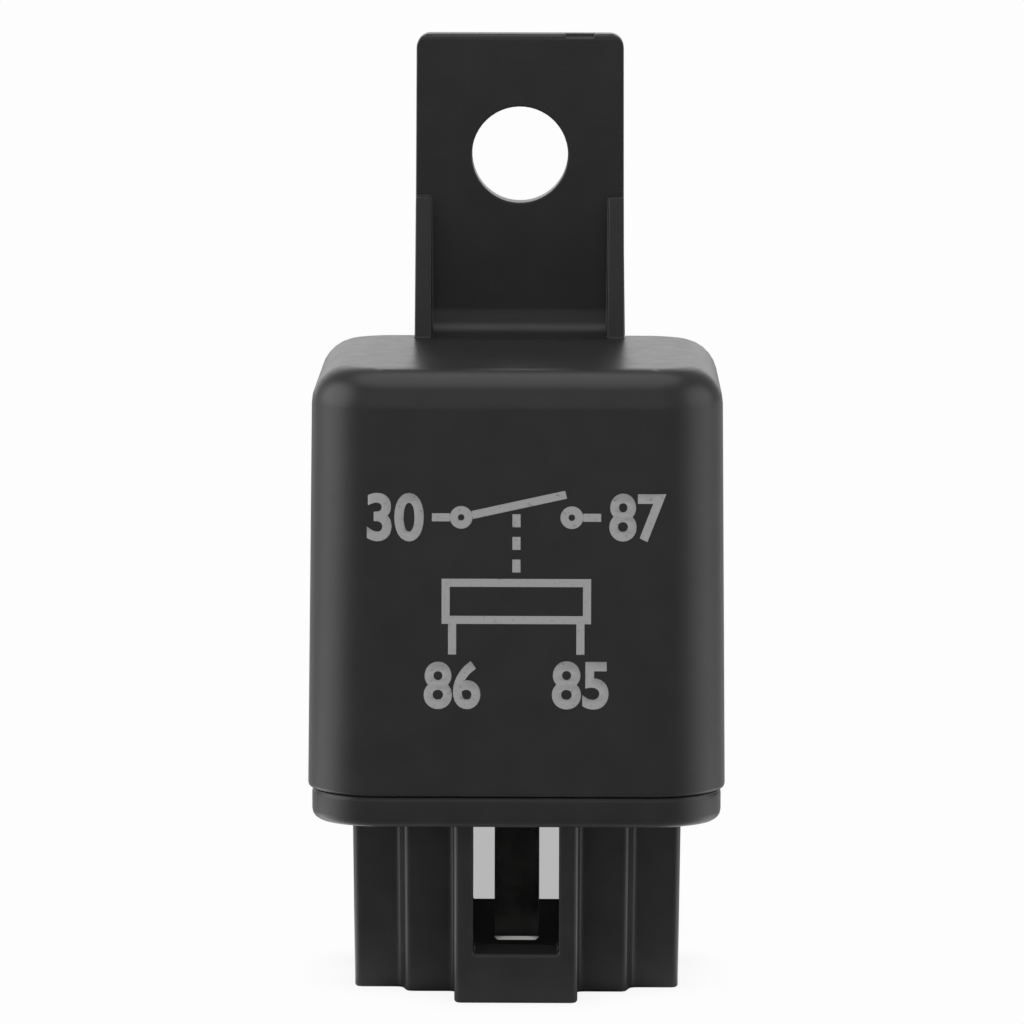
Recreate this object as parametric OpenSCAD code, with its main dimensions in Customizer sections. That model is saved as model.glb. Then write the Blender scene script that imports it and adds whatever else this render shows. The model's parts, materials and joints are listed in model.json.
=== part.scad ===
// Plug-in automotive relay: a moulded case with a mounting tab, on a base with a stepped plug skirt.
// Inside, a coil pulls a hinged armature down onto a fixed contact, and a leaf spring lifts it again.
// X runs to the right, Y to the back, Z up. The origin is the middle of the skirt's rim.
// The armature is drawn at rest, lifted off the core against the back stop.

/* [Case] */
// Width of the case across its sides, at its lower edge
case_w = 26; // [25.2:0.2:32]
// Depth of the case from front to back, at its lower edge
case_d = 26; // [24.6:0.2:32]
// Height of the case without its tab
case_h = 26.4; // [25.8:0.2:34]
// Thickness of the case's walls and roof
case_wall = 1.2; // [0.9:0.1:1.4]
// Radius of the case's upright corners
case_corner_r = 4.6; // [3.8:0.1:5.5]
// Radius of the rounding round the roof
case_roof_r = 2.4; // [1.6:0.1:3]
// How far each side leans in over the height of the case
case_draft = 0.25; // [0.05:0.05:0.4]
// Bevel on the case's lower edge, at the parting line
case_bevel = 0.15; // [0.05:0.05:0.25]

/* [Mounting tab] */
// Width of the tab at its top
tab_w = 13.35; // [11:0.05:15]
// How far each edge of the tab leans out towards the roof
tab_draft = 0.08; // [0.02:0.02:0.2]
// Height of the tab above the roof
tab_h = 19.5; // [16:0.5:24]
// Thickness of the tab
tab_t = 2.4; // [1.6:0.1:3]
// Radius of the rounding along the tab's upper edge
tab_edge_r = 0.4; // [0.1:0.05:0.7]
// Radius of the tab's two upper corners
tab_corner_r = 0.9; // [0.5:0.1:2]
// Diameter of the screw hole
tab_hole_d = 6.2; // [5:0.1:6.6]
// Height of the hole's middle above the roof
tab_hole_h = 11.7; // [9:0.1:12.5]
// How far a side rib stands forward of the tab at the roof
rib_reach = 1.9; // [1:0.1:3]
// How far it stands forward at its top
rib_top_reach = 0.3; // [0.1:0.05:0.8]
// Thickness of a side rib at the roof
rib_t = 1.1; // [0.8:0.1:1.5]
// How much thinner a rib is at its top
rib_draft = 0.12; // [0.02:0.02:0.2]
// Height of the side ribs above the roof
rib_h = 9; // [6:0.5:10]
// Radius of the fillet where the tab meets the roof
tab_fillet_r = 1.8; // [0.6:0.1:2.2]
// Width of the gate mark in the tab's upper edge
gate_w = 1.9; // [1:0.1:2.5]
// Depth of the gate mark
gate_t = 0.25; // [0.1:0.05:0.4]
// Distance of the gate mark from the tab's middle
gate_x = 3.85; // [2:0.05:4]

/* [Base flange and plinth] */
// How far the flange lies inside the case's outline
flange_inset = 0.25; // [0.1:0.05:0.5]
// Thickness of the flange
flange_t = 2; // [1.6:0.1:2.6]
// Radius of the flange's lower edge
flange_edge_r = 0.6; // [0.3:0.1:1]
// Bevel on the flange's upper edge, at the parting line
flange_bevel = 0.2; // [0.1:0.05:0.3]
// Height of the plinth that stands inside the case
plinth_h = 2.5; // [2.4:0.1:3.2]
// Gap between the plinth and the case's inner wall
plinth_gap = 0.15; // [0.1:0.05:0.3]
// How far a snap lug reaches into the case's wall
snap_reach = 0.4; // [0.2:0.05:0.5]
// Width of a snap lug
snap_w = 4; // [3:0.5:6]
// Height of a snap lug
snap_h = 0.9; // [0.6:0.1:1.2]
// Clearance round a snap lug in its pocket
snap_gap = 0.1; // [0.05:0.05:0.2]

/* [Plug skirt] */
// Height of the skirt below the flange
skirt_h = 11.5; // [10:0.5:14]
// Thickness of the skirt's walls
skirt_wall = 1.15; // [0.9:0.05:1.3]
// Full width of the skirt
skirt_w = 20.7; // [19.6:0.1:22]
// Depth of the skirt's two outer ends
skirt_end_d = 10.1; // [9.6:0.1:11]
// Depth of the skirt's broad middle step
skirt_step_d = 13; // [12.4:0.1:14]
// Width of the middle step where it leaves the outer ends
skirt_step_root_w = 14.8; // [14.2:0.1:15.6]
// Width of the middle step at its front
skirt_step_w = 14; // [13:0.1:14.1]
// Depth over the two latch pockets
pocket_d = 20.6; // [19:0.1:22]
// Width of the front latch pocket
front_pocket_w = 7.8; // [7.4:0.1:8.6]
// Width of the rear latch pocket, which keys the plug
rear_pocket_w = 8.6; // [7.4:0.1:9.4]
// How much of a pocket's front stands on each side of its window
window_side = 1.23; // [1.1:0.01:1.5]
// Height of the sill under the front window, at its outer edge
front_sill = 3; // [2:0.05:4]
// Height of the sill under the rear window, at its outer edge
rear_sill = 2.5; // [2:0.05:4]
// How much higher each sill is at its inner edge
sill_rise = 0.6; // [0.1:0.05:0.9]
// Radius of the skirt's corners
skirt_corner_r = 0.45; // [0.2:0.05:0.7]
// How far each side of the skirt leans in towards the rim
skirt_draft = 0.15; // [0.05:0.05:0.2]

/* [Terminals] */
// Thickness of the terminal strip
strip_t = 0.8; // [0.6:0.1:0.9]
// Width of the load blades
load_w = 6.3; // [4.8:0.1:6.5]
// Distance of a load blade's middle from the plug's middle
load_x = 5.6; // [5.3:0.1:5.9]
// Width of the coil blades
coil_w = 2.8; // [2:0.1:3.2]
// Distance of a coil blade's middle from the plug's middle
coil_y = 3.5; // [3.3:0.1:4]
// Length of the blades below the flange
blade_l = 8.7; // [7.5:0.1:9.8]
// Length of the bevel at a blade's tip
tip_l = 0.3; // [0.2:0.05:0.8]
// Bevel on the two corners of a blade's tip
tip_corner = 0.2; // [0.1:0.05:0.5]
// Thickness of a blade at its very tip
tip_t = 0.3; // [0.2:0.05:0.5]
// Inner radius of a bend in a strip
bend_r = 0.3; // [0.2:0.05:0.35]
// Clearance of a strip in its slot
slot_gap = 0.05; // [0.03:0.01:0.1]
// Length of terminal 30's inner end, under the yoke
pad_l = 3.6; // [2.5:0.1:3.8]
// Width of terminal 87's post
post_w = 5; // [4:0.1:5.6]
// Width of a coil terminal's inner post
coil_post_w = 1.2; // [0.8:0.1:1.4]
// Height of a coil terminal's inner post above the plinth
coil_post_h = 4.6; // [4.4:0.1:6]
// Distance between a coil terminal's inner post and the bobbin
coil_post_gap = 1.1; // [1:0.1:1.4]
// Room between a coil terminal's inner post and the case's wall
coil_post_room = 2.15; // [1.6:0.05:2.4]
// Gap between a coil terminal's inner strip and the yoke above it
coil_strip_drop = 1; // [0.6:0.1:1]

/* [Coil] */
// Diameter of the core's shank
core_d = 6; // [5:0.1:7]
// Diameter of the core's head
core_head_d = 9; // [8:0.1:10]
// Thickness of the core's head
core_head_t = 1.2; // [0.8:0.1:1.5]
// Diameter of the core's riveted neck in the yoke
core_neck_d = 4; // [3:0.1:4.6]
// Thickness of the bobbin's tube and flanges
bobbin_t = 1; // [0.7:0.1:1.1]
// How far the bobbin's flanges stand past the winding
bobbin_lip = 0.8; // [0.4:0.1:0.9]
// Radius of the corners of the bobbin's flanges
bobbin_corner_r = 2; // [1:0.1:3]
// Clearance between the core, the bobbin and the winding
coil_gap = 0.08; // [0.05:0.01:0.15]
// Gap between the bobbin and the metal on each side of it
side_gap = 0.4; // [0.2:0.05:0.5]
// Room between the back stop and the case's roof, which sets the height of the coil
roof_room = 1.5; // [1:0.1:3]
// Diameter of the coil's lead-out wires
lead_d = 0.4; // [0.2:0.05:0.5]

/* [Yoke and armature] */
// Thickness of the yoke
yoke_t = 1.5; // [1.2:0.1:1.6]
// Room between the spring's rivets on the yoke and the case's wall
yoke_room = 0.5; // [0.3:0.05:0.8]
// Width of the yoke
yoke_w = 13; // [12:0.1:15]
// Outer radius of the yoke's fold
yoke_fold_r = 1.9; // [1.7:0.1:2.4]
// How far the yoke's foot reaches past the core's middle
yoke_foot_reach = 5; // [4:0.1:5.4]
// Width of each locating lug under the yoke
yoke_lug_w = 2; // [1.5:0.1:2.2]
// Depth of each locating lug
yoke_lug_h = 1.8; // [1:0.1:2]
// Thickness of the armature
armature_t = 1.3; // [1:0.1:1.6]
// Width of the armature at the hinge
armature_w = 12; // [10:0.1:13]
// Width of the armature at its free end
armature_end_w = 9; // [7:0.1:9.8]
// Air gap left under the armature when it is pulled in
armature_gap = 0.1; // [0.08:0.01:0.15]
// Angle that the armature swings through
armature_swing = 3; // [2:0.25:4]

/* [Spring and contacts] */
// Thickness of the leaf spring
spring_t = 0.25; // [0.15:0.05:0.35]
// Width of the spring's leg and back
spring_w = 8; // [7.8:0.1:10]
// Width of the spring's contact arm
spring_arm_w = 4.4; // [4:0.1:5.4]
// Length of the spring's leg down the yoke
spring_leg_l = 9; // [7:0.5:11]
// Inner radius of the spring's bend over the yoke
spring_bend_r = 0.4; // [0.2:0.05:0.4]
// Diameter of the contacts' heads
contact_d = 3.2; // [2.8:0.1:3.6]
// Diameter of the contacts' shanks
contact_shank_d = 1.6; // [1:0.1:1.8]
// Height of the fixed contact's head
fixed_contact_t = 0.9; // [0.6:0.1:1.2]
// Height of the moving contact's head
moving_contact_t = 1.2; // [0.8:0.1:1.5]
// Gap left between the contacts when the armature is pulled in
contact_gap = 0.05; // [0.03:0.01:0.1]
// Height of a contact's riveted end
peen_t = 0.4; // [0.3:0.05:0.5]
// Metal left round a contact's head
contact_margin = 0.3; // [0.2:0.05:0.4]
// Room between the contact arms and the case's wall
end_room = 0.35; // [0.3:0.05:0.6]
// Diameter of the small rivets' shanks
rivet_d = 1.5; // [1:0.1:1.8]
// Diameter of the small rivets' heads
rivet_head_d = 2.6; // [2.2:0.1:2.7]
// Height of the small rivets' heads
rivet_head_t = 0.4; // [0.3:0.05:0.5]
// Distance between two small rivets
rivet_pitch = 5; // [4:0.1:5.1]
// Clearance of a rivet in its hole
rivet_gap = 0.05; // [0.03:0.01:0.08]
// Width of the back stop's post
stop_w = 2.2; // [1.6:0.1:2.4]
// Width of the back stop's arm
stop_arm_w = 2; // [1.4:0.1:2.4]
// Distance of the back stop's post from the relay's middle
stop_y = 5.6; // [5.2:0.1:6.4]
// Room between the back stop and the case's wall
stop_room = 0.55; // [0.45:0.05:0.7]
// Gap between the back stop and the rivet that rests under it
stop_gap = 0.05; // [0.03:0.01:0.1]
// Depth of the back stop's foot in the plinth
stop_foot_l = 1.8; // [1.2:0.1:2.2]

/* [Suppression resistor] */
// Diameter of the resistor's body
resistor_d = 2.4; // [1.8:0.1:2.5]
// Length of bare lead between the resistor's body and its first elbow
resistor_stub = 0.75; // [0.6:0.05:1.2]
// Diameter of the resistor's leads
resistor_lead_d = 0.6; // [0.4:0.05:0.65]

/* [Hidden] */

$fn = 64;
hull_fn = 48;       // roundness of what goes into a hull
roof_steps = 7;     // straight pieces in the arc of the roof's rounding
corner_steps = 4;   // straight pieces in the arc of a small corner
box_steps = 10;     // straight pieces in the arc of a large corner
skim = 1;           // how far a cutting solid runs past the face that it opens
bite = 0.5;         // how far an added form reaches into the wall that it grows from
touch_gap = 0.05;   // clearance between round pieces that touch
slant_gap = 0.02;   // clearance between the lifted pieces, which lie face to face at a slant
socket_r = 0.25;    // radius of the corners inside the skirt
lug_inset = 0.5;    // from the yoke's edge to a locating lug
heel = 0.15;        // how far the armature reaches behind its hinge line
armature_corner_r = 0.5; // radius of the armature's corners
pole_margin = 0.5;  // how far the armature reaches past the core's head
peen_flare = 0.5;   // how far a contact's riveted end spreads past its shank
leg_margin = 2;     // from the end of the spring's leg to its rivets
neck_l = 1.5;       // length over which the spring narrows to its contact arm
lead_rise = 0.5;    // height of a lead-out wire above the bobbin's lower flange
resistor_gap = 0.1; // from the resistor's leads to terminal 87's post
resistor_side = 0.6; // from the resistor's body to the edge of that post
stop_neck = [1.6, 3]; // from the back stop's back to where its arm narrows, and to where that ends

// Heights
flange_top = skirt_h + flange_t;
plinth_top = flange_top + plinth_h;
roof_z = flange_top + case_h;
tip_z = skirt_h - blade_l;
coil_strip_z = plinth_top - coil_strip_drop - strip_t / 2;
snap_z = flange_top + snap_h;
hole_z = roof_z + tab_hole_h;
foot_top = plinth_top + yoke_t;
winding_z = foot_top + bobbin_t;

// Places across the relay
case_inner_x = case_w / 2 - case_wall;
case_inner_y = case_d / 2 - case_wall;
tab_back_y = case_d / 2 - case_draft;
tab_front_y = tab_back_y - tab_t;
room_x = case_inner_x - case_draft;
room_y = case_inner_y - case_draft;
yoke_x = -(room_x - yoke_room - rivet_head_t - spring_t);
hinge_x = yoke_x + yoke_t / 2;
bobbin_x0 = yoke_x + yoke_t + side_gap;
bobbin_x1 = load_x - strip_t / 2 - side_gap;
core_x = (bobbin_x0 + bobbin_x1) / 2;
coil_post_y = room_y - coil_post_room - strip_t / 2;
bobbin_w = bobbin_x1 - bobbin_x0;
bobbin_d = 2 * (coil_post_y - strip_t / 2 - coil_post_gap);
bobbin_r = core_d / 2 + coil_gap + bobbin_t;
winding_d = min(bobbin_w, bobbin_d) - 2 * bobbin_lip;
lug_y = yoke_w / 2 - yoke_lug_w / 2 - lug_inset;
armature_rear_x = hinge_x - heel;
armature_end_x = core_x + core_head_d / 2 + pole_margin;
armature_rivet_x = (hinge_x + core_x - core_head_d / 2) / 2;
peen_r = contact_shank_d / 2 + peen_flare;
shelf_end_x = room_x - end_room;
contact_x = shelf_end_x - contact_margin - contact_d / 2;
coil_ring_z = winding_z + lead_d / 2 + lead_rise;
coil_ring_r = norm([coil_post_w, strip_t]) / 2 + touch_gap + lead_d / 2;
stop_x1 = room_x - stop_room;
stop_x0 = stop_x1 - stop_w;
stop_end_y = -peen_r;
resistor_x = load_x + strip_t / 2 + resistor_gap + resistor_lead_d / 2;
resistor_z = plinth_top + resistor_d / 2 + touch_gap;
resistor_lead_y = coil_post_y + strip_t / 2 + touch_gap + resistor_lead_d / 2;
resistor_y0 = resistor_stub + resistor_lead_d / 2 - resistor_lead_y;
resistor_y1 = -post_w / 2 - resistor_side;

// Heights of the mechanism, down from the roof; stack_h and lift_h stand above the hinge
stack_h = armature_t + 2 * slant_gap + spring_t;
lift_h = (contact_x + peen_r - hinge_x) * sin(armature_swing) + (stack_h + peen_t) * cos(armature_swing);
stop_z = roof_z - case_wall - roof_room - strip_t;
hinge_z = stop_z - stop_gap - lift_h;
pole_z = hinge_z - armature_gap;
bobbin_top = pole_z - core_head_t;
armature_top = hinge_z + armature_t;
spring_z = armature_top + slant_gap;
spring_top = hinge_z + stack_h;
spring_rivet_z = pole_z - spring_leg_l + leg_margin;
shelf_top = armature_top - moving_contact_t - contact_gap - fixed_contact_t;

// Outlines: lists of points worked out from sizes

function unit(v) = v / norm(v);
function left(v) = [-v.y, v.x];
function turned(v, a) = [v.x * cos(a) - v.y * sin(a), v.x * sin(a) + v.y * cos(a)];
function arc(centre, r, a0, a1, n) = [for (i = [0:n]) centre + turned([r, 0], a0 + (a1 - a0) * i / n)];

// The arc that rounds corner b between its neighbours a and c
function corner(a, b, c, r, n) =
    let (u = unit(a - b), v = unit(c - b), half = acos(u * v) / 2,
         centre = b + unit(u + v) * r / sin(half),
         p = b + u * r / tan(half) - centre, q = b + v * r / tan(half) - centre,
         turn = atan2(p.x * q.y - p.y * q.x, p * q))
    [for (i = [0:n]) centre + turned(p, turn * i / n)];

// A closed outline with all its corners rounded
function rounded(points, r, steps = corner_steps) =
    let (n = len(points))
    [for (i = [0:n - 1]) each corner(points[(i + n - 1) % n], points[i], points[(i + 1) % n], r, steps)];

function box_outline(w, d, r) =
    rounded([[-w / 2, -d / 2], [w / 2, -d / 2], [w / 2, d / 2], [-w / 2, d / 2]], r, box_steps);

// The middle line of a strip round its bend at b, as [point, side direction] pairs
function bend(a, b, c, r) =
    let (u = unit(b - a), v = unit(c - b), turn = atan2(u.x * v.y - u.y * v.x, u * v),
         side = left(u) * sign(turn), centre = b - u * r * tan(abs(turn) / 2) + side * r)
    [for (i = [0:corner_steps]) let (t = turn * i / corner_steps)
        [centre - turned(side, t) * r, turned(left(u), t)]];

// A strip of thickness t bent along a path, with inner radius r, and end_t thick at its first end
function strip_outline(path, t, r, end_t, end_l) =
    let (last = len(path) - 1, u = unit(path[1] - path[0]), v = unit(path[last] - path[last - 1]),
         bends = [for (i = [1:1:last - 1]) each bend(path[i - 1], path[i], path[i + 1], r + t / 2)],
         middle = concat([[path[0] + u * end_l, left(u)]], bends, [[path[last], left(v)]]),
         n = len(middle) - 1)
    concat([path[0] + left(u) * end_t / 2], [for (m = middle) m[0] + m[1] * t / 2],
           [for (i = [n:-1:0]) middle[i][0] - middle[i][1] * t / 2], [path[0] - left(u) * end_t / 2]);

// Where a point of the pulled-in armature, given as [x, z], lies when it is lifted
function lifted_point(p) = [hinge_x, hinge_z] + turned(p - [hinge_x, hinge_z], armature_swing);

// Half the tab's width at a height above the roof
function tab_half(h) = tab_w / 2 + tab_draft * (1 - h / tab_h);

// One side of the skirt's outline, moved in by g
function skirt_side(pocket_w, g) =
    let (end = [skirt_w / 2 - g, skirt_end_d / 2 - g], root_x = skirt_step_root_w / 2 - g,
         step = [skirt_step_w / 2 - g, skirt_step_d / 2 - g],
         pocket = [pocket_w / 2 - g, pocket_d / 2 - g],
         half = [[pocket.x, -pocket.y], [pocket.x, -step.y], [step.x, -step.y],
                 [root_x, -end.y], [end.x, -end.y]])
    concat([for (i = [4:-1:0]) [-half[i].x, half[i].y]], half);

function skirt_outline(g) =
    concat(skirt_side(front_pocket_w, g), [for (p = skirt_side(rear_pocket_w, g)) -p]);

// Building blocks

// A flat shape drawn in X and Z, or in Y and Z, given a thickness about its middle
module in_xz(t) rotate([90, 0, 0]) linear_extrude(t, center = true) children();
module in_yz(t) rotate([90, 0, 90]) linear_extrude(t, center = true) children();

// Copies at the four corners of a rectangle
module at_corners(x, y) for (sx = [-1, 1], sy = [-1, 1]) translate([sx * x, sy * y, 0]) children();

module rod(a, b, d) {
    v = b - a;
    translate(a) rotate([0, acos(v.z / norm(v)), atan2(v.y, v.x)]) cylinder(d = d, h = norm(v));
}

// A box with rounded upright corners and a rounded top, which leans in by draft
module drafted_case(w, d, h, corner_r, top_r, draft, bevel) {
    hull() {
        at_corners(w / 2 - corner_r, d / 2 - corner_r)
            cylinder(r1 = corner_r - bevel, r2 = corner_r, h = bevel, $fn = hull_fn);
        at_corners(w / 2 - draft - corner_r, d / 2 - draft - corner_r)
            rotate_extrude($fn = hull_fn)
                polygon(concat([[0, h - top_r]],
                               arc([corner_r - top_r, h - top_r], top_r, 0, 90, roof_steps), [[0, h]]));
    }
}

module lifted() {
    translate([hinge_x, 0, hinge_z]) rotate([0, -armature_swing, 0])
        translate([-hinge_x, 0, -hinge_z]) children();
}

// The face of a blade with bevelled tip corners, and a narrower part above its shoulders
module blade_face(w, shoulder_z, upper_w, top_z) {
    half = [[w / 2 - tip_corner, tip_z], [w / 2, tip_z + tip_corner], [w / 2, shoulder_z],
            [upper_w / 2, shoulder_z], [upper_w / 2, top_z]];
    polygon(concat(half, [for (i = [4:-1:0]) [-half[i].x, half[i].y]]));
}

// A contact rivet standing on its seat, gripping what lies below
module contact_rivet(head_t, grip) {
    r = contact_d / 2;
    crown = 0.25;
    rotate_extrude()
        polygon([[0, -grip - peen_t], [peen_r - crown, -grip - peen_t], [peen_r, -grip],
                 [contact_shank_d / 2, -grip], [contact_shank_d / 2, 0], [r, 0],
                 [r, head_t - crown], [r - crown, head_t], [0, head_t]]);
}

module small_rivet(grip) {
    rotate_extrude($fn = 32)
        polygon([[0, -grip], [rivet_d / 2, -grip], [rivet_d / 2, 0], [rivet_head_d / 2, 0],
                 [rivet_head_d / 3, rivet_head_t], [0, rivet_head_t]]);
}

module rivet_pair() for (y = [-1, 1] * rivet_pitch / 2) translate([0, y, 0]) children();
module rivet_holes(t) rivet_pair() cylinder(d = rivet_d + 2 * rivet_gap, h = 2 * t, center = true, $fn = 32);

// Housing

// The tab's section: a plate that reaches down into the roof, and its front where it carries the ribs
module tab_side(front) {
    r = tab_edge_r;
    root_z = roof_z - case_roof_r - bite;
    top_z = roof_z + tab_h - r;
    polygon(concat(arc([tab_back_y - r, top_z], r, 0, 90, corner_steps),
                   arc([tab_front_y + r, top_z], r, 90, 180, corner_steps),
                   front, [[tab_back_y, root_z]]));
}

module tab() {
    root_z = roof_z - case_roof_r - bite;
    ribs = [tab_half(0), tab_half(rib_h)];
    top = [tab_half(tab_h) - tab_corner_r, roof_z + tab_h - tab_corner_r];
    foot_y = tab_front_y - rib_reach;
    fillet = [tab_front_y - tab_fillet_r, roof_z + tab_fillet_r];
    difference() {
        intersection() {
            in_xz(2 * case_d)
                polygon(concat(arc(top, tab_corner_r, 0, 90, roof_steps),
                               arc([-top.x, top.y], tab_corner_r, 90, 180, roof_steps),
                               [[-ribs[0], roof_z], [-ribs[0], root_z],
                                [ribs[0], root_z], [ribs[0], roof_z]]));
            in_yz(case_w)
                tab_side([[tab_front_y, roof_z + rib_h], [tab_front_y - rib_top_reach, roof_z + rib_h],
                          [foot_y, roof_z], [foot_y, root_z]]);
        }
        // Space between the ribs, with a fillet along its foot
        intersection() {
            translate([0, foot_y, 0]) in_xz(2 * rib_reach)
                polygon([for (side = [-1, 1], h = side < 0 ? [0, 1] : [1, 0])
                            [side * (ribs[h] - rib_t + h * rib_draft), roof_z + h * rib_h]]);
            in_yz(case_w)
                polygon(concat(arc(fillet, tab_fillet_r, -90, 0, roof_steps),
                               [[tab_front_y, roof_z + rib_h + skim], [foot_y - skim, roof_z + rib_h + skim],
                                [foot_y - skim, roof_z]]));
        }
    }
}

module cover() {
    color([0.13, 0.13, 0.13])
    difference() {
        union() {
            translate([0, 0, flange_top])
                drafted_case(case_w, case_d, case_h, case_corner_r, case_roof_r, case_draft, case_bevel);
            tab();
        }
        // Hollow
        translate([0, 0, flange_top - skim])
            drafted_case(2 * case_inner_x, 2 * case_inner_y, case_h + skim - case_wall,
                         case_corner_r - case_wall, case_roof_r - case_wall / 2, case_draft, case_bevel);
        // Screw hole
        translate([0, tab_back_y + skim, hole_z]) rotate([90, 0, 0])
            cylinder(d = tab_hole_d, h = tab_t + 2 * skim);
        // Gate mark
        translate([gate_x - gate_w / 2, tab_front_y - skim, roof_z + tab_h - gate_t])
            cube([gate_w, skim + tab_t / 3, skim]);
        // Pockets for the snap lugs
        for (side = [-1, 1]) {
            reach = case_inner_x + snap_reach + snap_gap;
            translate([side * reach / 2, 0, snap_z + snap_h / 2])
                cube([reach, snap_w + 2 * snap_gap, snap_h + 2 * snap_gap], center = true);
        }
    }
}

module flange() {
    r = case_corner_r - flange_inset;
    hull()
        at_corners(case_w / 2 - case_corner_r, case_d / 2 - case_corner_r)
            rotate_extrude($fn = hull_fn)
                polygon(concat([[0, 0]],
                               arc([r - flange_edge_r, flange_edge_r], flange_edge_r, -90, 0, corner_steps),
                               [[r, flange_t - flange_bevel], [r - flange_bevel, flange_t], [0, flange_t]]));
}

module snap_lug() {
    root = case_inner_x - plinth_gap - bite;
    tip = case_inner_x + snap_reach;
    in_xz(snap_w)
        polygon([[root, 0], [tip, 0], [tip, snap_h / 3],
                 [case_inner_x - plinth_gap, snap_h], [root, snap_h]]);
}

module skirt() {
    translate([0, 0, skirt_h + bite]) mirror([0, 0, 1])
        linear_extrude(skirt_h + bite, scale = 1 - 2 * skirt_draft / skirt_w)
            polygon(rounded(skirt_outline(0), skirt_corner_r));
}

// Window of a latch pocket, seen as the one at the front; its sill rises towards the socket
module window(pocket_w, sill) {
    outer = -pocket_d / 2;
    inner = outer + skirt_wall;
    inner_sill = sill + sill_rise;
    in_yz(pocket_w - 2 * window_side)
        polygon([[outer - skim, sill], [outer, sill], [inner, inner_sill], [inner + bite, inner_sill],
                 [inner + bite, skirt_h], [outer - skim, skirt_h]]);
}

// Bevel at a slot's mouth, so that the inside of a strip's bend clears it; dir is the way the strip bends
module bend_relief(dir, w) {
    c = bend_r + slot_gap;
    s = strip_t / 2;
    in_xz(w) polygon([[dir * (c + s), s], [-dir * s, s], [-dir * s, -c - s]]);
}

// Slot and channel of a coil terminal, at the front
module coil_channel() {
    w = coil_w + 2 * slot_gap;
    t = strip_t + 2 * slot_gap;
    floor_z = coil_strip_z - strip_t / 2;
    translate([-w / 2, -coil_y - t / 2, skirt_h - skim])
        cube([w, t, plinth_top - skirt_h + 2 * skim]);
    translate([-w / 2, -coil_post_y - t / 2, floor_z])
        cube([w, coil_post_y - coil_y + t, plinth_top - floor_z + skim]);
    translate([0, -coil_y - t / 2, floor_z]) rotate([0, 0, -90]) bend_relief(1, w);
}

module base() {
    t = strip_t + 2 * slot_gap;
    w = load_w + 2 * slot_gap;
    pad_end = load_x + strip_t / 2 + pad_l + slot_gap;
    color([0.12, 0.12, 0.12])
    difference() {
        union() {
            translate([0, 0, skirt_h]) flange();
            translate([0, 0, flange_top - bite])
                linear_extrude(plinth_h + bite)
                    polygon(box_outline(2 * (case_inner_x - plinth_gap), 2 * (case_inner_y - plinth_gap),
                                        case_corner_r - case_wall));
            translate([0, 0, snap_z]) for (side = [0, 1]) mirror([side, 0, 0]) snap_lug();
            skirt();
        }
        // Socket and its two windows
        translate([0, 0, -skim]) linear_extrude(skirt_h + skim)
            polygon(rounded(skirt_outline(skirt_wall), socket_r));
        window(front_pocket_w, front_sill);
        mirror([0, 1, 0]) window(rear_pocket_w, rear_sill);
        // Load blades, and terminal 30's recess under the yoke
        for (side = [-1, 1])
            translate([side * load_x - t / 2, -w / 2, skirt_h - skim])
                cube([t, w, plinth_top - skirt_h + 2 * skim]);
        translate([-pad_end, -w / 2, plinth_top - strip_t])
            cube([pad_end - load_x + strip_t / 2, w, strip_t + skim]);
        translate([-load_x - t / 2, 0, plinth_top - strip_t]) bend_relief(-1, w);
        // Coil terminals
        for (side = [0, 1]) mirror([0, side, 0]) coil_channel();
        // Yoke lugs
        for (side = [-1, 1])
            translate([yoke_x - slot_gap, side * lug_y - yoke_lug_w / 2 - slot_gap, plinth_top - yoke_lug_h])
                cube([yoke_t + 2 * slot_gap, yoke_lug_w + 2 * slot_gap, yoke_lug_h + skim]);
        // Back stop's foot
        translate([stop_x0 - slot_gap, stop_y - t / 2, plinth_top - stop_foot_l])
            cube([stop_w + 2 * slot_gap, t, stop_foot_l + skim]);
    }
}

// Terminals

module terminal_30() {
    pad_z = plinth_top - strip_t / 2;
    path = [[-load_x, tip_z], [-load_x, pad_z], [-load_x - strip_t / 2 - pad_l, pad_z]];
    color("silver")
    intersection() {
        in_xz(load_w) polygon(strip_outline(path, strip_t, bend_r, tip_t, tip_l));
        in_yz(case_w) blade_face(load_w, plinth_top, load_w, plinth_top + skim);
    }
}

module terminal_87() {
    shelf_z = shelf_top - strip_t / 2;
    path = [[load_x, tip_z], [load_x, shelf_z], [shelf_end_x, shelf_z]];
    color("silver")
    difference() {
        intersection() {
            in_xz(load_w) polygon(strip_outline(path, strip_t, bend_r, tip_t, tip_l));
            in_yz(case_w) blade_face(load_w, plinth_top, post_w, shelf_top + skim);
        }
        translate([contact_x, 0, shelf_z])
            cylinder(d = contact_shank_d + 2 * rivet_gap, h = 2 * strip_t, center = true);
    }
}

module coil_terminal() {
    path = [[-coil_y, tip_z], [-coil_y, coil_strip_z], [-coil_post_y, coil_strip_z],
            [-coil_post_y, plinth_top + coil_post_h]];
    color("silver")
    intersection() {
        in_yz(coil_w) polygon(strip_outline(path, strip_t, bend_r, tip_t, tip_l));
        in_xz(case_d) blade_face(coil_w, plinth_top, coil_post_w, plinth_top + coil_post_h + skim);
    }
}

module terminal_85() coil_terminal();
module terminal_86() mirror([0, 1, 0]) coil_terminal();

// Electromagnet

module bobbin() {
    color("ivory")
    translate([core_x, 0, 0]) difference() {
        union() {
            translate([0, 0, foot_top]) cylinder(r = bobbin_r, h = bobbin_top - foot_top);
            for (z = [foot_top, bobbin_top - bobbin_t])
                translate([0, 0, z]) linear_extrude(bobbin_t)
                    polygon(box_outline(bobbin_w, bobbin_d, bobbin_corner_r));
        }
        translate([0, 0, foot_top - skim])
            cylinder(d = core_d + 2 * coil_gap, h = bobbin_top - foot_top + 2 * skim);
    }
}

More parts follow.
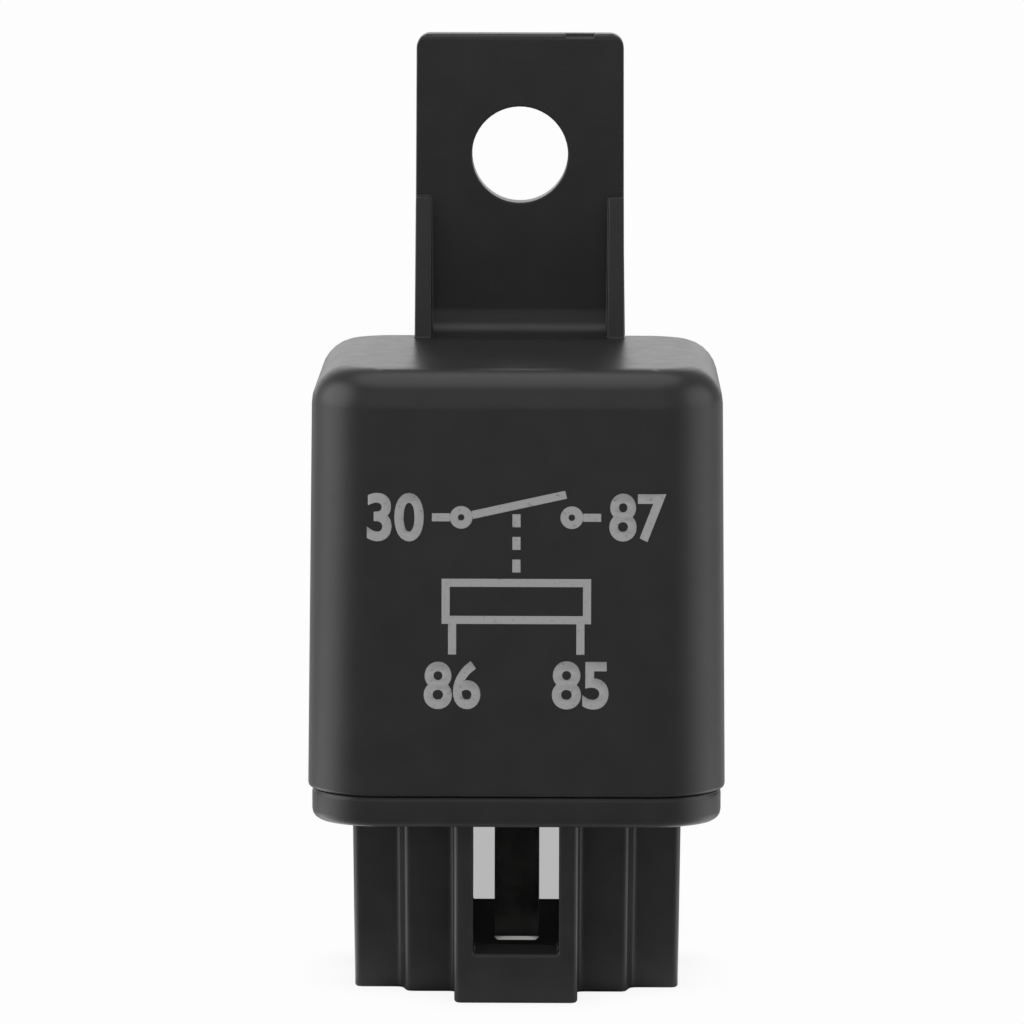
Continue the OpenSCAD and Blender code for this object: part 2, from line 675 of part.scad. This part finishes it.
module coil_winding() {
    h = bobbin_top - bobbin_t - winding_z - 2 * touch_gap;
    color([0.72, 0.38, 0.16])
    translate([core_x, 0, winding_z + touch_gap]) difference() {
        cylinder(d = winding_d, h = h);
        translate([0, 0, -skim]) cylinder(r = bobbin_r + coil_gap, h = h + 2 * skim);
    }
}

// Lead-out wire at the front: from the winding to two turns round the terminal's post
module coil_lead() {
    post = [0, -coil_post_y, coil_ring_z];
    axis = [core_x, 0, coil_ring_z];
    color([0.72, 0.38, 0.16])
    for (turn = [0, 1])
        translate(post + [0, 0, turn * (lead_d - touch_gap)])
            rotate_extrude() translate([coil_ring_r, 0]) circle(d = lead_d, $fn = 16);
    color([0.72, 0.38, 0.16])
    rod(post + unit(axis - post) * coil_ring_r,
        axis + unit(post - axis) * (winding_d / 2 + touch_gap), lead_d);
}

module coil_lead_85() coil_lead();
module coil_lead_86() mirror([0, 1, 0]) coil_lead();

module core() {
    bevel = 0.2;
    color("gainsboro")
    translate([core_x, 0, 0]) rotate_extrude()
        polygon([[0, plinth_top], [core_neck_d / 2, plinth_top], [core_neck_d / 2, foot_top],
                 [core_d / 2, foot_top], [core_d / 2, bobbin_top], [core_head_d / 2, bobbin_top],
                 [core_head_d / 2, pole_z - bevel], [core_head_d / 2 - bevel, pole_z], [0, pole_z]]);
}

module yoke() {
    foot_z = plinth_top + yoke_t / 2;
    path = [[core_x + yoke_foot_reach, foot_z], [hinge_x, foot_z], [hinge_x, pole_z]];
    color("gainsboro")
    difference() {
        union() {
            in_xz(yoke_w) polygon(strip_outline(path, yoke_t, yoke_fold_r - yoke_t, yoke_t, bite));
            for (side = [-1, 1])
                translate([yoke_x, side * lug_y - yoke_lug_w / 2, plinth_top - yoke_lug_h])
                    cube([yoke_t, yoke_lug_w, yoke_lug_h + yoke_fold_r]);
        }
        translate([core_x, 0, foot_z])
            cylinder(d = core_neck_d + 2 * rivet_gap, h = 2 * yoke_t, center = true);
        translate([hinge_x, 0, spring_rivet_z]) rotate([0, 90, 0]) rivet_holes(yoke_t);
    }
}

module yoke_rivets() {
    color("goldenrod")
    translate([yoke_x - spring_t, 0, spring_rivet_z]) rotate([0, -90, 0])
        rivet_pair() small_rivet(spring_t + yoke_t);
}

// Contacts and back stop

module fixed_contact() {
    color("lightgray")
    translate([contact_x, 0, shelf_top]) contact_rivet(fixed_contact_t, strip_t);
}

module back_stop() {
    arm_z = stop_z + strip_t / 2;
    back_y = stop_y + strip_t / 2;
    path = [[stop_y, plinth_top - stop_foot_l], [stop_y, arm_z], [stop_end_y, arm_z]];
    arm = [contact_x - stop_arm_w / 2, contact_x + stop_arm_w / 2];
    neck_y = [for (d = stop_neck) back_y - d];
    color("silver")
    intersection() {
        translate([stop_x0, 0, 0]) in_yz(2 * case_w)
            polygon(strip_outline(path, strip_t, bend_r, strip_t, bite));
        linear_extrude(roof_z)
            polygon([[stop_x0, back_y], [stop_x1, back_y], [stop_x1, neck_y[0]], [arm[1], neck_y[1]],
                     [arm[1], stop_end_y], [arm[0], stop_end_y], [arm[0], neck_y[1]], [stop_x0, neck_y[0]]]);
    }
}

// Suppression resistor across the coil terminals

module suppression_resistor() {
    ends = [resistor_y0, resistor_y1];
    l = resistor_y1 - resistor_y0;
    r = resistor_d / 2;
    waist = r - 0.15;
    cap_l = l / 5;
    neck = cap_l + r - waist;
    color([0.35, 0.5, 0.75])
    translate([resistor_x, resistor_y0, resistor_z]) rotate([-90, 0, 0]) rotate_extrude($fn = 32)
        polygon([[0, 0], [waist, 0], [r, cap_l / 4], [r, cap_l], [waist, neck], [waist, l - neck],
                 [r, l - cap_l], [r, l - cap_l / 4], [waist, l], [0, l]]);
    color("silver")
    for (side = [0, 1]) {
        end_y = (side ? 1 : -1) * resistor_lead_y;
        elbow = [resistor_x, end_y, resistor_z];
        rod([resistor_x, ends[side] + (side ? -1 : 1) * bite, resistor_z], elbow, resistor_lead_d);
        translate(elbow) sphere(d = resistor_lead_d, $fn = 32);
        rod(elbow, [-coil_post_w / 2, end_y, resistor_z], resistor_lead_d);
    }
}

// Armature, drawn pulled in and then lifted

module armature() {
    taper_x = core_x - core_d / 2;
    half = [[armature_rear_x, armature_w / 2], [taper_x, armature_w / 2],
            [armature_end_x, armature_end_w / 2]];
    color("gainsboro")
    lifted() difference() {
        translate([0, 0, hinge_z]) linear_extrude(armature_t)
            polygon(rounded(concat([for (p = half) [p.x, -p.y]], [for (i = [2:-1:0]) half[i]]),
                            armature_corner_r));
        translate([armature_rivet_x, 0, armature_top]) rivet_holes(2 * armature_t);
    }
}

module armature_spring() {
    leg_x = yoke_x - spring_t / 2;
    middle_z = spring_z + spring_t / 2;
    over_hinge = lifted_point([hinge_x, middle_z]);
    path = [[leg_x, pole_z - spring_leg_l],
            [leg_x, over_hinge.y + (leg_x - over_hinge.x) * tan(armature_swing)],
            lifted_point([shelf_end_x, middle_z])];
    neck_x = armature_end_x - neck_l;
    half = [[yoke_x - skim, spring_w / 2], [neck_x, spring_w / 2], [armature_end_x, spring_arm_w / 2],
            [shelf_end_x + skim, spring_arm_w / 2]];
    color("goldenrod")
    difference() {
        intersection() {
            in_xz(spring_w) polygon(strip_outline(path, spring_t, spring_bend_r, spring_t, bite));
            linear_extrude(roof_z)
                polygon(concat([for (p = half) [p.x, -p.y]], [for (i = [3:-1:0]) half[i]]));
        }
        lifted() {
            translate([armature_rivet_x, 0, armature_top]) rivet_holes(armature_t / 2);
            translate([contact_x, 0, armature_top])
                cylinder(d = contact_shank_d + 2 * rivet_gap, h = armature_t, center = true);
        }
        translate([leg_x, 0, spring_rivet_z]) rotate([0, 90, 0]) rivet_holes(yoke_t / 2);
    }
}

module armature_rivets() {
    color("goldenrod")
    lifted() translate([armature_rivet_x, 0, spring_top]) rivet_pair() small_rivet(spring_top - hinge_z);
}

module moving_contact() {
    color("lightgray")
    lifted() translate([contact_x, 0, armature_top]) mirror([0, 0, 1])
        contact_rivet(moving_contact_t, spring_top - armature_top);
}

cover();
base();
terminal_30();
terminal_87();
terminal_85();
terminal_86();
bobbin();
coil_winding();
coil_lead_85();
coil_lead_86();
core();
yoke();
yoke_rivets();
fixed_contact();
back_stop();
suppression_resistor();
armature();
armature_spring();
armature_rivets();
moving_contact();
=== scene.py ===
"""Looks of the plug-in automotive relay: finishes, edges, marking, light and camera round its frame."""

import json
import math

import bmesh
import bpy
from mathutils import Matrix, Vector


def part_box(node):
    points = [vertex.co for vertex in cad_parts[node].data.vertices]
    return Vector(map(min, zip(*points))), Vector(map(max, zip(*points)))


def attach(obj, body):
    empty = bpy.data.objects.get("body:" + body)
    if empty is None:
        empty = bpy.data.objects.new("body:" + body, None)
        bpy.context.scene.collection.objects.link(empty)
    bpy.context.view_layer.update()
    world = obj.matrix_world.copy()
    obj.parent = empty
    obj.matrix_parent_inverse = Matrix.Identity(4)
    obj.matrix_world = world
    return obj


MM = 0.001
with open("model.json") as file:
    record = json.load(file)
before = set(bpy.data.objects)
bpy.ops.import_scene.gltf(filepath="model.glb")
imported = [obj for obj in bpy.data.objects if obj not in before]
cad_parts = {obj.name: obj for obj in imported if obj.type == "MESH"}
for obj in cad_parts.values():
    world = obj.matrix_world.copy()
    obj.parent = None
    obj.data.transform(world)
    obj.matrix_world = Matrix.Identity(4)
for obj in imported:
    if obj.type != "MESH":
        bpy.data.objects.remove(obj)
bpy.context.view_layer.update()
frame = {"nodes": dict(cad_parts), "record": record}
nodes = frame["nodes"]


# ---------------------------------------------------------------- node helpers

class Shader:
    """A material's node tree, with short calls for the nodes that the finishes below share."""

    def __init__(self, name):
        self.material = bpy.data.materials.new(name)
        self.material.use_nodes = True
        self.tree = self.material.node_tree
        self.surface = self.tree.nodes["Principled BSDF"]
        self.place = self.add("ShaderNodeTexCoord").outputs["Object"]

    def add(self, kind, **settings):
        made = self.tree.nodes.new(kind)
        for key, value in settings.items():
            setattr(made, key, value)
        return made

    def link(self, source, target):
        self.tree.links.new(source, target)

    def noise(self, size, detail=2.0, roughness=0.5, stretch=(1, 1, 1)):
        """Noise whose features are about size millimetres across, longer where stretch is below 1."""
        mapping = self.add("ShaderNodeMapping")
        mapping.inputs["Scale"].default_value = stretch
        self.link(self.place, mapping.inputs["Vector"])
        made = self.add("ShaderNodeTexNoise")
        made.inputs["Scale"].default_value = 1 / (size * MM)
        made.inputs["Detail"].default_value = detail
        made.inputs["Roughness"].default_value = roughness
        self.link(mapping.outputs["Vector"], made.inputs["Vector"])
        return made.outputs["Fac"]

    def spread(self, value, low, high, start=0.3, end=0.7, ease="LINEAR"):
        """A value of start to end, carried to low to high."""
        made = self.add("ShaderNodeMapRange", interpolation_type=ease)
        made.inputs["From Min"].default_value = start
        made.inputs["From Max"].default_value = end
        made.inputs["To Min"].default_value = low
        made.inputs["To Max"].default_value = high
        self.link(value, made.inputs["Value"])
        return made.outputs["Result"]

    def math(self, operation, *values):
        """A sum, product or the like, of outputs and plain numbers."""
        made = self.add("ShaderNodeMath", operation=operation)
        for socket, value in zip(made.inputs, values):
            if isinstance(value, (int, float)):
                socket.default_value = value
            else:
                self.link(value, socket)
        return made.outputs["Value"]

    def mix(self, value, a, b):
        made = self.add("ShaderNodeMix", data_type="RGBA")
        made.inputs["A"].default_value = (*a, 1)
        made.inputs["B"].default_value = (*b, 1)
        self.link(value, made.inputs["Factor"])
        return made.outputs["Result"]

    def bump(self, value, height, below=None):
        """Bump height millimetres high, laid over another bump where one is given."""
        made = self.add("ShaderNodeBump")
        made.inputs["Distance"].default_value = height * MM
        self.link(value, made.inputs["Height"])
        if below is not None:
            self.link(below, made.inputs["Normal"])
        return made.outputs["Normal"]

    def finish(self, colour=None, roughness=None, normal=None, **values):
        for socket, source in (("Base Color", colour), ("Roughness", roughness), ("Normal", normal)):
            if source is not None:
                self.link(source, self.surface.inputs[socket])
        for socket, value in values.items():
            self.surface.inputs[socket.replace("_", " ")].default_value = value
        return self.material


# ---------------------------------------------------------------- finishes

def moulded_plastic(name, dark, light, rough_low, rough_high, grain):
    """Injection-moulded plastic: a spark-eroded grain, faint flow waves and slight changes of gloss."""
    s = Shader(name)
    colour = s.mix(s.spread(s.noise(2.5, 4), 0, 1), dark, light)
    rough = s.spread(s.noise(1.2, 5, 0.6), rough_low, rough_high)
    waves = s.bump(s.noise(5, 1, stretch=(1, 1, 0.5)), 0.004)
    normal = s.bump(s.noise(0.16, 3, 0.6), grain, waves)
    return s.finish(colour, rough, normal)


def plated_metal(name, dark, light, rough_low, rough_high, stretch):
    """Rolled and plated strip, with fine lines along its length and a slight cloudiness."""
    s = Shader(name)
    colour = s.mix(s.spread(s.noise(1.5, 4), 0, 1), dark, light)
    rough = s.spread(s.noise(0.6, 5, 0.6), rough_low, rough_high)
    clouds = s.bump(s.noise(0.8, 3), 0.001)
    normal = s.bump(s.noise(0.05, 2, stretch=stretch), 0.0005, clouds)
    return s.finish(colour, rough, normal, Metallic=1.0)


WAVES_PER_UNIT = 3.18      # how many bands a wave texture of scale 1 draws in one unit


def enamelled_wire(name, pitch):
    """Fine copper wire wound in close turns, under a clear enamel."""
    s = Shader(name)
    turns = s.add("ShaderNodeTexWave", bands_direction="Z", wave_profile="SIN")
    turns.inputs["Scale"].default_value = 1 / (pitch * MM) / WAVES_PER_UNIT
    turns.inputs["Distortion"].default_value = 0.3
    s.link(s.place, turns.inputs["Vector"])
    colour = s.mix(s.spread(s.noise(0.7, 3), 0, 1), (0.42, 0.13, 0.035), (0.62, 0.24, 0.08))
    rough = s.spread(s.noise(0.5, 3), 0.25, 0.4)
    normal = s.bump(turns.outputs["Fac"], pitch / 4)
    return s.finish(colour, rough, normal, Metallic=0.9, Coat_Weight=0.6, Coat_Roughness=0.15)


def lacquer(name):
    """The resistor's dipped coating, smooth and slightly lumpy."""
    s = Shader(name)
    colour = s.mix(s.spread(s.noise(1, 3), 0, 1), (0.10, 0.22, 0.42), (0.14, 0.28, 0.5))
    rough = s.spread(s.noise(0.8, 3), 0.2, 0.32)
    return s.finish(colour, rough, s.bump(s.noise(0.9, 2), 0.02))


def pad_print(name):
    """Matt grey ink, slightly uneven, with a few specks where the black shows through."""
    s = Shader(name)
    cover = s.spread(s.noise(0.3, 5, 0.7), 0, 1, 0.3, 0.42)
    colour = s.mix(cover, (0.2,) * 3, (0.37,) * 3)
    rough = s.spread(s.noise(0.4, 3), 0.5, 0.65)
    return s.finish(colour, rough, s.bump(s.noise(0.12, 3), 0.006))


# Colours dark and light, roughness low and high, and last the grain's height in millimetres or the stretch of
# the lines. The case's and base's roughness stays at 0.28 or more, because the case showed small dark specks
# in the denoised picture when it began at 0.27.
FINISHES = {
    "case_plastic": moulded_plastic("case_plastic", (0.025,) * 3, (0.029,) * 3, 0.28, 0.33, 0.006),
    "base_plastic": moulded_plastic("base_plastic", (0.025,) * 3, (0.03,) * 3, 0.28, 0.36, 0.005),
    "bobbin_plastic": moulded_plastic("bobbin_plastic", (0.62, 0.58, 0.46), (0.68, 0.64, 0.52),
                                      0.4, 0.5, 0.004),
    "tinned_brass": plated_metal("tinned_brass", (0.55, 0.55, 0.53), (0.66, 0.66, 0.64),
                                 0.13, 0.19, (1, 1, 0.04)),
    "plated_steel": plated_metal("plated_steel", (0.5, 0.5, 0.49), (0.6, 0.6, 0.58),
                                 0.3, 0.45, (1, 1, 0.1)),
    "spring_bronze": plated_metal("spring_bronze", (0.55, 0.36, 0.16), (0.66, 0.45, 0.22),
                                  0.22, 0.34, (0.04, 1, 1)),
    "contact_silver": plated_metal("contact_silver", (0.78, 0.77, 0.75), (0.86, 0.85, 0.83),
                                   0.2, 0.3, (1, 1, 1)),
    "copper_wire": enamelled_wire("copper_wire", 0.2),
    "resistor_coating": lacquer("resistor_coating"),
}


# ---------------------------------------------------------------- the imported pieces

def soften(piece, width, angle=30):
    """Gives a CAD piece rounded edges of that width in millimetres, and smooth faces between them."""
    mesh = piece.data
    split = mesh.attributes.get("custom_normal")
    if split is not None:
        mesh.attributes.remove(split)
    for face in mesh.polygons:
        face.use_smooth = True
    weld = piece.modifiers.new("weld", "WELD")
    weld.merge_threshold = 0.002 * MM
    flat = piece.modifiers.new("flat", "DECIMATE")
    flat.decimate_type = "DISSOLVE"
    flat.angle_limit = math.radians(0.5)
    edge = piece.modifiers.new("edge", "BEVEL")
    edge.width = width * MM
    edge.segments = 3
    edge.limit_method = "ANGLE"
    edge.angle_limit = math.radians(angle)
    edge.use_clamp_overlap = False
    edge.miter_outer = "MITER_ARC"
    edge.harden_normals = False
    normals = piece.modifiers.new("normals", "WEIGHTED_NORMAL")
    normals.mode = "FACE_AREA"
    normals.keep_sharp = False


# Width of the rounded edges in millimetres, of each piece that needs its own
EDGES = {"cover": 0.12, "base": 0.17, "bobbin": 0.08, "yoke": 0.08, "armature": 0.08}
FINE_EDGE = 0.03
for row in frame["record"]["subparts"]:
    piece = nodes[row["node"]]
    piece.data.materials.clear()
    piece.data.materials.append(FINISHES[row["material_slot"]])
    soften(piece, EDGES.get(row["node"], FINE_EDGE))


# ---------------------------------------------------------------- marking

class Front:
    """The case's front face, in millimetres: it leans in towards the roof and bends back at its corners."""

    low, high = (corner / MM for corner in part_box("cover"))
    case_h, lean, corner_r = 26.4, 0.25, 4.6
    flat_x = high.x - lean - corner_r

    @classmethod
    def point(cls, x, height, proud):
        """Where a point at x lies, at a height above the case's lower edge and that far proud of its face."""
        lean = cls.lean * height / cls.case_h
        beyond = max(0, abs(x) - (cls.high.x - cls.corner_r - lean))
        back = cls.corner_r - math.sqrt(cls.corner_r ** 2 - beyond ** 2)
        return Vector((x, cls.low.y + lean + back - proud, cls.low.z + height)) * MM


class Marking:
    """Flat shapes in X and height above the case's lower edge, laid on the front as one piece of ink."""

    def __init__(self):
        self.shape = bmesh.new()

    def outline(self, points):
        self.shape.faces.new([self.shape.verts.new((x, z, 0)) for x, z in points])

    def stroke(self, a, b, width):
        """A straight bar from a to b."""
        a, b = Vector(a), Vector(b)
        side = (b - a).normalized().orthogonal() * width / 2
        self.outline([a - side, b - side, b + side, a + side])

    def ring(self, centre, radius, width, steps=32):
        angles = [2 * math.pi * i / steps for i in range(steps)]
        turn = [Vector((math.cos(t), math.sin(t))) for t in angles]
        inner, outer = ([self.shape.verts.new((*(Vector(centre) + u * r), 0)) for u in turn]
                        for r in (radius - width / 2, radius + width / 2))
        for i in range(steps):
            j = (i + 1) % steps
            self.shape.faces.new([inner[i], inner[j], outer[j], outer[i]])

    def frame(self, left, right, bottom, top, width):
        """A hollow rectangle whose line lies inside the given limits."""
        half = width / 2
        for z in (bottom + half, top - half):
            self.stroke((left, z), (right, z), width)
        for x in (left + half, right - half):
            self.stroke((x, bottom + width), (x, top - width), width)

    def number(self, digits, left, right, bottom, top, weight=0.03):
        """Digits in the built-in type, made bold by weight and fitted to the given limits."""
        curve = bpy.data.curves.new("digits", "FONT")
        curve.body = digits
        curve.offset = weight
        curve.resolution_u = 6
        made = bpy.data.objects.new("digits", curve)
        mesh = bpy.data.meshes.new_from_object(made)
        xs, ys = ([v.co[i] for v in mesh.vertices] for i in (0, 1))
        scale = Vector(((right - left) / (max(xs) - min(xs)), (top - bottom) / (max(ys) - min(ys))))
        for vertex in mesh.vertices:
            x = left + (vertex.co.x - min(xs)) * scale.x
            vertex.co = x, bottom + (vertex.co.y - min(ys)) * scale.y, 0
        self.shape.from_mesh(mesh)
        bpy.data.meshes.remove(mesh)
        bpy.data.objects.remove(made)
        bpy.data.curves.remove(curve)

    def lay(self, name, material, body, proud=0.015, depth=0.03):
        """Lays the shapes on the front, that far proud of it, and gives them a depth that reaches into it.

        They are first cut into narrow strips where the front bends back, so that they follow the bend.
        """
        strips, strip = 6, 0.2
        for i in range(strips):
            for side in (-1, 1):
                whole = [*self.shape.verts, *self.shape.edges, *self.shape.faces]
                bmesh.ops.bisect_plane(self.shape, geom=whole, plane_no=(1, 0, 0),
                                       plane_co=(side * (Front.flat_x + i * strip), 0, 0))
        for vertex in self.shape.verts:
            vertex.co = Front.point(vertex.co.x, vertex.co.y, proud)
        bmesh.ops.recalc_face_normals(self.shape, faces=self.shape.faces)
        for face in self.shape.faces:
            if face.normal.y > 0:
                face.normal_flip()
        mesh = bpy.data.meshes.new(name)
        self.shape.to_mesh(mesh)
        self.shape.free()
        mesh.materials.append(material)
        piece = bpy.data.objects.new(name, mesh)
        bpy.context.scene.collection.objects.link(piece)
        solid = piece.modifiers.new("depth", "SOLIDIFY")
        solid.thickness = depth * MM
        solid.offset = -1
        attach(piece, body)


def mark_case():
    """The usual circuit of such a relay, with its terminals' numbers: a contact over a coil."""
    marking = Marking()
    line = 0.5                               # width of every line
    top, middle, low = 17.4, 12.2, 7.0       # heights of the three rows
    digit_w, digit_h = 3.5, 3.0              # a number of two digits
    reach, coil, low_reach = 9.2, 4.6, 5.7   # how far each row reaches on each side
    pivot, dot = 3.4, 0.45                   # the contact's two ends, and their radius
    coil_half = 1.4                          # half the coil's height
    rise, tip_gap = 1.5, 0.2                 # how far the open contact rises, and how far it stops short
    dash, dash_pitch, first_dash = 0.8, 1.4, 1.8     # the dashed line from the coil to the contact
    number_gap, leg_gap = 0.5, 0.4           # from a line's end to the number beside or below it
    for row, limit, numbers in ((top, reach, ("30", "87")), (low, low_reach, ("86", "85"))):
        for side, digits in zip((-1, 1), numbers):
            middle_x = side * (limit - digit_w / 2)
            marking.number(digits, middle_x - digit_w / 2, middle_x + digit_w / 2,
                           row - digit_h / 2, row + digit_h / 2)
    edge = dot + line / 2
    for side in (-1, 1):
        marking.ring((side * pivot, top), dot, line)
        marking.stroke((side * (pivot + edge), top), (side * (reach - digit_w - number_gap), top), line)
        leg = side * (low_reach - digit_w / 2)
        marking.stroke((leg, middle - coil_half), (leg, low + digit_h / 2 + leg_gap), line)
    along = Vector((2 * pivot, rise)).normalized()
    start = Vector((-pivot, top))
    marking.stroke(start + along * edge, start + along * (2 * pivot - tip_gap), line)
    marking.frame(-coil, coil, middle - coil_half, middle + coil_half, line)
    for i in range(3):
        bottom = middle + first_dash + i * dash_pitch
        marking.stroke((0, bottom), (0, bottom + dash), line)
    marking.lay("marking", pad_print("pad_print"), "relay_body")


mark_case()


# ---------------------------------------------------------------- camera, light and floor

def place_camera():
    """The camera stands a little right of the middle, well in front, and looks slightly down."""
    data = bpy.data.cameras.new("camera")
    data.lens, data.sensor_width = 233.4, 36
    data.clip_start, data.clip_end = 0.01, 20
    camera = bpy.data.objects.new("camera", data)
    bpy.context.scene.collection.objects.link(camera)
    yaw, pitch, roll = (math.radians(a) for a in (0.457, 7.05, 0.126))
    turn = (Matrix.Rotation(yaw, 4, "Z") @ Matrix.Rotation(math.pi / 2 - pitch, 4, "X")
            @ Matrix.Rotation(roll, 4, "Z"))
    camera.matrix_world = Matrix.Translation(Vector((2.95, -417.6, 81.3)) * MM) @ turn
    bpy.context.scene.camera = camera


# Soft lights round the relay: the way to each, how far from its middle it is full and where it ends, in
# degrees, and how much it adds to the room's own light. The camera doesn't see them.
LIGHTS = {
    "wall behind": ((-0.1, 1, 0.05), 18, 38, 0.78),
    "box overhead": ((0, 0.05, 1), 20, 36, 0.95),
    "box in front": ((0, -1, 0.35), 15, 45, 0.2),
    "box at the left": ((-1, 0, 0.3), 15, 40, 1.65),
    "box at the right": ((1, 0, 0.3), 12, 34, 1.05),
}
ROOM = 0.25        # the room's own light
SEEN = 0.983       # floor and background as the camera sees them
LIGHTING = 1.05    # the floor as a light on matt surfaces
GLOW = 0.45        # the floor as the relay mirrors it, where nothing below changes that
# The shade behind the relay is a painted shadow in the floor's glow, not a cast one.
PAINTED_SHADOW = 0.48       # what is left of the floor's brightness in the shade behind the relay


def light_room():
    """The world: the room's own light with the soft lights in it, and an even pale background."""
    world = bpy.data.worlds.new("room")
    world.use_nodes = True
    bpy.context.scene.world = world
    tree = world.node_tree
    tree.nodes.clear()
    add, link = tree.nodes.new, tree.links.new
    way = add("ShaderNodeTexCoord").outputs["Generated"]
    total = add("ShaderNodeValue").outputs["Value"]
    total.default_value = ROOM
    for axis, full, end, strength in LIGHTS.values():
        near = add("ShaderNodeVectorMath")
        near.operation = "DOT_PRODUCT"
        near.inputs[1].default_value = Vector(axis).normalized()
        link(way, near.inputs[0])
        fade = add("ShaderNodeMapRange")
        fade.interpolation_type = "SMOOTHSTEP"
        for socket, value in (("From Min", math.cos(math.radians(end))),
                              ("From Max", math.cos(math.radians(full))), ("To Max", strength)):
            fade.inputs[socket].default_value = value
        link(near.outputs["Value"], fade.inputs["Value"])
        both = add("ShaderNodeMath")
        link(total, both.inputs[0])
        link(fade.outputs["Result"], both.inputs[1])
        total = both.outputs["Value"]
    lit, plain, shown = add("ShaderNodeBackground"), add("ShaderNodeBackground"), add("ShaderNodeMixShader")
    link(total, lit.inputs["Strength"])
    plain.inputs["Strength"].default_value = SEEN
    for source in (lit, plain):
        source.inputs["Color"].default_value = (1, 1, 1, 1)
    link(add("ShaderNodeLightPath").outputs["Is Camera Ray"], shown.inputs["Fac"])
    link(lit.outputs["Background"], shown.inputs[1])
    link(plain.outputs["Background"], shown.inputs[2])
    link(shown.outputs["Shader"], add("ShaderNodeOutputWorld").inputs["Surface"])


def floor_as_seen(s, across, along):
    """Pale like the background, with a soft painted shadow behind the relay and a faint painted contact shade
    where it stands.
    """
    width = s.spread(s.math("ABSOLUTE", across), 1, 0, 3.5 * MM, 11.5 * MM, "SMOOTHSTEP")
    near = s.spread(along, 0, 1, 4 * MM, 24 * MM, "SMOOTHSTEP")
    far = s.spread(along, 1, 0, 54 * MM, 84 * MM, "SMOOTHSTEP")
    behind = s.math("MULTIPLY", s.math("MULTIPLY", width, near), far)
    # Painted shadow: the floor's glow is darkened in a strip behind the relay.
    shade = s.spread(behind, 1, PAINTED_SHADOW, 0, 1)
    # Painted contact shade: ambient occlusion darkens the floor's glow where the relay stands, more so behind
    # it.
    painted_contact_shade = s.add("ShaderNodeAmbientOcclusion", samples=16)
    painted_contact_shade.inputs["Distance"].default_value = 4 * MM
    contact = s.math("MULTIPLY", s.math("SUBTRACT", 1.0, painted_contact_shade.outputs["AO"]),
                     s.spread(along, 0.1, 0.5, 0, 14 * MM, "SMOOTHSTEP"))
    lit = s.math("MULTIPLY", shade, s.math("SUBTRACT", 1.0, contact))
    return s.math("MULTIPLY", lit, SEEN)


def floor_as_mirrored(s, across, along, away, painted_shade_underneath):
    """Painted dark in front, so that the blade looks black; painted brightest at both sides, more so near the
    relay.

    A painted shade lies under the relay too, but for a painted spot of light that the front blade's tip
    mirrors.
    """
    # Painted dark patch: the floor's glow in the relay's reflections is dark in front of it.
    front = s.math("DIVIDE", s.math("MULTIPLY", along, -1), away)
    dark = s.math("MULTIPLY", s.spread(front, 0, 1, 0.45, 0.8, "SMOOTHSTEP"),
                  s.spread(along, 1, 0, -18 * MM, -8 * MM, "SMOOTHSTEP"))
    # Painted light: the glow is brighter at both sides of the relay, and more so near it.
    side = s.spread(s.math("ABSOLUTE", front), 1, 0, 0.1, 0.58, "SMOOTHSTEP")
    side = s.math("MULTIPLY", side, s.spread(across, 0.8, 0.55, -20 * MM, 20 * MM))
    side = s.math("MULTIPLY", side, s.spread(away, 2, 1, 25 * MM, 80 * MM, "SMOOTHSTEP"))
    # Painted spot of light under the front blade's tip, for the tip to mirror.
    tip = s.add("ShaderNodeVectorMath", operation="DISTANCE")
    s.link(s.place, tip.inputs[0])
    tip.inputs[1].default_value = (0, -3.3 * MM, 0)
    painted_light_under_tip = s.spread(tip.outputs["Value"], 1, 0, 1.2 * MM, 2.4 * MM)
    open_floor = s.math("MULTIPLY", s.math("SUBTRACT", 1, dark), s.math("ADD", side, GLOW))
    return s.math("MULTIPLY", open_floor, s.math("MAXIMUM", painted_shade_underneath, painted_light_under_tip))


def floor_finish(name):
    """A floor that glows, with one strength for each kind of ray: seen, mirrored, or lighting, each with
    painted shade or light in it.
    """
    s = Shader(name)
    across, along, _ = s.add("ShaderNodeSeparateXYZ").outputs
    s.link(s.place, across.node.inputs["Vector"])
    length = s.add("ShaderNodeVectorMath", operation="LENGTH")
    s.link(s.place, length.inputs[0])
    away = length.outputs["Value"]
    # Painted shade under the relay: the glow that lights it and that it mirrors is dimmed beneath it.
    painted_shade_underneath = s.spread(away, 0.1, 1, 9 * MM, 12 * MM)
    strength = s.math("MULTIPLY", painted_shade_underneath, LIGHTING)
    path = s.add("ShaderNodeLightPath").outputs
    for kind, value in (("Is Glossy Ray", floor_as_mirrored(s, across, along, away, painted_shade_underneath)),
                        ("Is Camera Ray", floor_as_seen(s, across, along))):
        choice = s.add("ShaderNodeMix")
        for source, socket in ((path[kind], "Factor"), (strength, "A"), (value, "B")):
            s.link(source, choice.inputs[socket])
        strength = choice.outputs["Result"]
    glowing = s.add("ShaderNodeEmission")
    s.link(strength, glowing.inputs["Strength"])
    s.link(glowing.outputs["Emission"], s.tree.nodes["Material Output"].inputs["Surface"])
    return s.material


def lay_floor():
    mesh = bpy.data.meshes.new("floor")
    shape = bmesh.new()
    bmesh.ops.create_circle(shape, cap_ends=True, segments=96, radius=4)
    shape.to_mesh(mesh)
    shape.free()
    mesh.materials.append(floor_finish("floor"))
    floor = bpy.data.objects.new("floor", mesh)
    bpy.context.scene.collection.objects.link(floor)


place_camera()
light_room()
lay_floor()
bpy.context.scene.view_settings.view_transform = "Standard"
